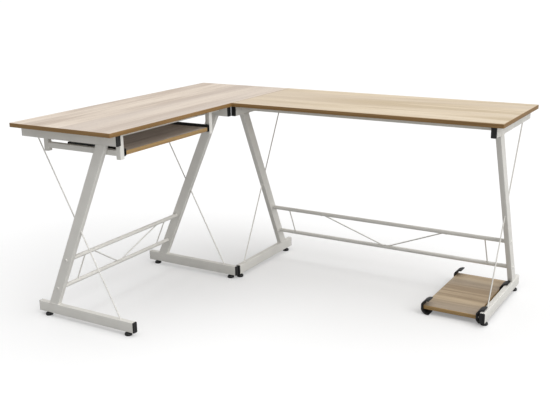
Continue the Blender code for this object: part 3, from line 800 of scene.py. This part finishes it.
def board(node, face_material, band_material, body="desk_frame"):
    low, high = (np.array(corner, float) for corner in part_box(node))
    glue_line = 0.00015
    core = layers(low, high, (BAND + glue_line, BAND, BAND, BAND + glue_line),
                  (low[2], low[2] + glue_line, high[2] - glue_line, high[2]))
    piece(node + "_board", [patch(core, filled=(0, -1))], face_material, body, [node])
    turn = np.linspace(0, math.pi / 2, 4)
    round_over = ARRIS * (1 - np.sin(turn))
    rise = ARRIS * (1 - np.cos(turn))
    insets = [BAND, *round_over, *round_over[::-1], BAND]
    heights = [low[2], *(low[2] + rise), *(high[2] - rise[::-1]), high[2]]
    piece(node + "_edge_band", [patch(layers(low, high, insets, heights), along=True)], band_material, body)
    print(node, "is", ((high - low) * 1000).round(1), "mm")


board("left_top_panel", oak_left, edge_band)
board("right_top_panel", oak_right, edge_band)
board("keyboard_tray", oak_tray_painted_shade, edge_band_painted_light, "keyboard_slide")
board("stand_shelf", oak_shelf_painted_shade, edge_band_painted_light)

# %% [markdown]
# ## The tray's brackets
# A bracket is two hangers of square tube, a bar between them and a plate on each hanger that screws to
# the top. The bar is welded in, so it gets a bead at both ends.

# %% Brackets
HANGER = 0.020
BAR_LIFT = 0.012
PLATE = 0.002
for side, inward in (("outer", 1), ("inner", -1)):
    node = "tray_bracket_" + side
    low, high = (np.array(corner, float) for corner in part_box(node))
    face = low[1] if inward > 0 else high[1]
    y = face + inward * HANGER / 2
    ends = low[0] + HANGER / 2, high[0] - HANGER / 2
    shapes = [tube((x, y, low[2]), (x, y, high[2] - PLATE), HANGER, HANGER, SMALL_CORNER, SMALL_WALL, (1, 0, 0)) for x in ends]
    z = low[2] + BAR_LIFT + HANGER / 2
    bar_ends = ends[0] + HANGER / 2, ends[1] - HANGER / 2
    shapes.append(tube((bar_ends[0], y, z), (bar_ends[1], y, z), HANGER - 0.0002, HANGER - 0.0002, SMALL_CORNER, SMALL_WALL))
    for x in bar_ends:
        ring = rounded_outline(HANGER, HANGER, SMALL_CORNER)
        shapes.append(bead(np.column_stack([np.full(len(ring), x), ring[:, 0] + y, ring[:, 1] + z]), (1, 0, 0), 0.0011))
    plate_y = np.sort([face, high[1] if inward > 0 else low[1]])
    screws = []
    for x in ends:
        plate_low = np.array([x - HANGER / 2, plate_y[0], high[2] - PLATE])
        plate_high = np.array([x + HANGER / 2, plate_y[1], high[2]])
        plate = layers(plate_low, plate_high, (0.0003, 0, 0, 0.0003),
                       high[2] - PLATE + np.array([0, 0.0003, PLATE - 0.0003, PLATE]), 0.003)
        shapes.append(patch(plate, filled=(0, -1)))
        screws.append(screw_head((x, face + inward * 0.035, high[2] - PLATE), (0, 0, -1), PAN_HEAD, PAN_SOCKET))
    piece(node + "_weldment", shapes, powder_coat, replaces=[node])
    piece(node + "_screws", screws, zinc)
print("brackets", round(high[0] - low[0], 3), "m long")

# %% [markdown]
# ## Runners
# The tray slides on two-part steel runners. Each part is strip rolled into a channel, and rolled strip
# has no sharp corner: the outline below is rounded at every corner before it is carried along.

# %% Runners
SHEET = 0.0012


def rounded_loop(points, radii, steps=4):
    """Each corner becomes (1-t)^2 before + 2t(1-t) corner + t^2 after, the ends a radius away."""
    points = np.asarray(points, float)
    radii = np.broadcast_to(radii, len(points))[:, None]
    before = points + radii * unit(np.roll(points, 1, axis=0) - points)
    after = points + radii * unit(np.roll(points, -1, axis=0) - points)
    t = np.linspace(0, 1, steps)[None, :, None]
    curve = (1 - t) ** 2 * before[:, None] + 2 * t * (1 - t) * points[:, None] + t ** 2 * after[:, None]
    return curve.reshape(-1, 2)


def channel(depth, height, way):
    """A C of sheet, its web at 0 and its flanges towards way * depth."""
    top = height / 2
    corners = np.array([(0, -top), (depth, -top), (depth, SHEET - top), (SHEET, SHEET - top),
                        (SHEET, top - SHEET), (depth, top - SHEET), (depth, top), (0, top)])
    bends = [0.0018, 0.0004, 0.0004, 0.0008, 0.0008, 0.0004, 0.0004, 0.0018]
    return rounded_loop(corners, bends) * (way, 1)


for side, inward in (("outer", 1), ("inner", -1)):
    for member, body, way in (("fixed", "desk_frame", inward), ("moving", "keyboard_slide", -inward)):
        node = f"runner_{side}_{member}"
        low, high = (np.array(corner, float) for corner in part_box(node))
        web = low[1] if way > 0 else high[1]
        outline = channel(high[1] - low[1], high[2] - low[2], way)
        rows = np.array([np.column_stack([np.full(len(outline), x), outline[:, 0] + web,
                                          outline[:, 1] + (low[2] + high[2]) / 2]) for x in (low[0], high[0])])
        piece(node + "_channel", [patch(rows, filled=(0, -1))], coated_steel, body, [node])
print("runners", round((high - low)[0] * 1000), "mm long")

# %% [markdown]
# ## The stand's clips
# The shelf is screwed between four moulded clips, all the same C-shaped band with a flat web. The left
# pair stands on the floor; the right pair hooks over the end frame's foot beam. The outline is drawn in
# the upright plane from arcs, and carried along; near both ends it draws in along its own normals,
# which rounds the edges as a moulding's are.

# %% Clips
CLIP_RADIUS = 0.030
CLIP_INSIDE = 0.025
CLIP_BACK = 0.028
CLIP_SEAT = 0.0215
CLIP_TIP = 88
HOOK_LOWER_TIP = 126
CLIP_ARRIS = 0.0009


def arc(centre, radius, start, end, steps=10):
    """centre + radius * (cos a, sin a), a in degrees from start to end."""
    angle = np.radians(np.linspace(start, end, steps + 1))
    return np.asarray(centre) + radius * np.stack([np.cos(angle), np.sin(angle)], axis=-1)


def clip_outline(lower_tip):
    """Outside of the band with its flat back, the lower tip, the inside with its flat seat, the upper tip."""
    back = math.degrees(math.acos(CLIP_BACK / CLIP_RADIUS))
    seat = math.degrees(math.acos(CLIP_SEAT / CLIP_INSIDE))
    wall, tip = (CLIP_RADIUS + CLIP_INSIDE) / 2, (CLIP_RADIUS - CLIP_INSIDE) / 2
    upper, lower = (wall * np.array([math.cos(a), math.sin(a)]) for a in np.radians([CLIP_TIP, -lower_tip]))
    return np.vstack([
        arc((0, 0), CLIP_RADIUS, CLIP_TIP, 180 - back, 14), arc((0, 0), CLIP_RADIUS, 180 + back, 360 - lower_tip, 14),
        arc(lower, tip, -lower_tip, 180 - lower_tip, 8)[1:-1],
        arc((0, 0), CLIP_INSIDE, 360 - lower_tip, 180 + seat, 12), arc((0, 0), CLIP_INSIDE, 180 - seat, CLIP_TIP, 12),
        arc(upper, tip, CLIP_TIP + 180, CLIP_TIP + 360, 8)[1:-1]])


def drawn_in(outline, amount):
    """Each point moved along the outline's inward normal, the mean of its two neighbouring edges'."""
    way = unit(unit(outline - np.roll(outline, 1, axis=0)) + unit(np.roll(outline, -1, axis=0) - outline))
    return outline + amount * np.stack([-way[:, 1], way[:, 0]], axis=-1)


turn = np.linspace(0, math.pi / 2, 4)
draw = CLIP_ARRIS * (1 - np.sin(turn))
rise = CLIP_ARRIS * (1 - np.cos(turn))
for row in ("front", "rear"):
    for column, lower_tip in (("left", CLIP_TIP), ("right", HOOK_LOWER_TIP)):
        node = f"stand_foot_{row}_{column}"
        low, high = (np.array(corner, float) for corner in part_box(node))
        outline = clip_outline(lower_tip)
        centre = low[0] + CLIP_BACK, high[2] - CLIP_RADIUS
        rows = []
        for inset, y in zip([*draw, *draw[::-1]], [*(low[1] + rise), *(high[1] - rise[::-1])]):
            ring = drawn_in(outline, inset)
            rows.append(np.column_stack([ring[:, 0] + centre[0], np.full(len(ring), y), ring[:, 1] + centre[1]]))
        piece(node + "_moulding", [patch(rows, filled=(0, -1))], plastic, replaces=[node], sharp=50)

        shelf_low, shelf_high = (np.array(corner, float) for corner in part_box("stand_shelf"))
        height = (shelf_low[2] + shelf_high[2]) / 2
        ends = low[1] + 0.012, high[1] - 0.012
        if column == "left":
            heads = [screw_head((low[0], y, height), (-1, 0, 0), PAN_HEAD, PAN_SOCKET) for y in ends]
        else:
            heads = [screw_head((centre[0] - CLIP_SEAT, y, height), (1, 0, 0), PAN_HEAD, PAN_SOCKET) for y in ends]
        piece(node + "_screws", heads, zinc)
print("clips", round(high[1] - low[1], 3), "m long and", round(high[2] - low[2], 3), "m high")
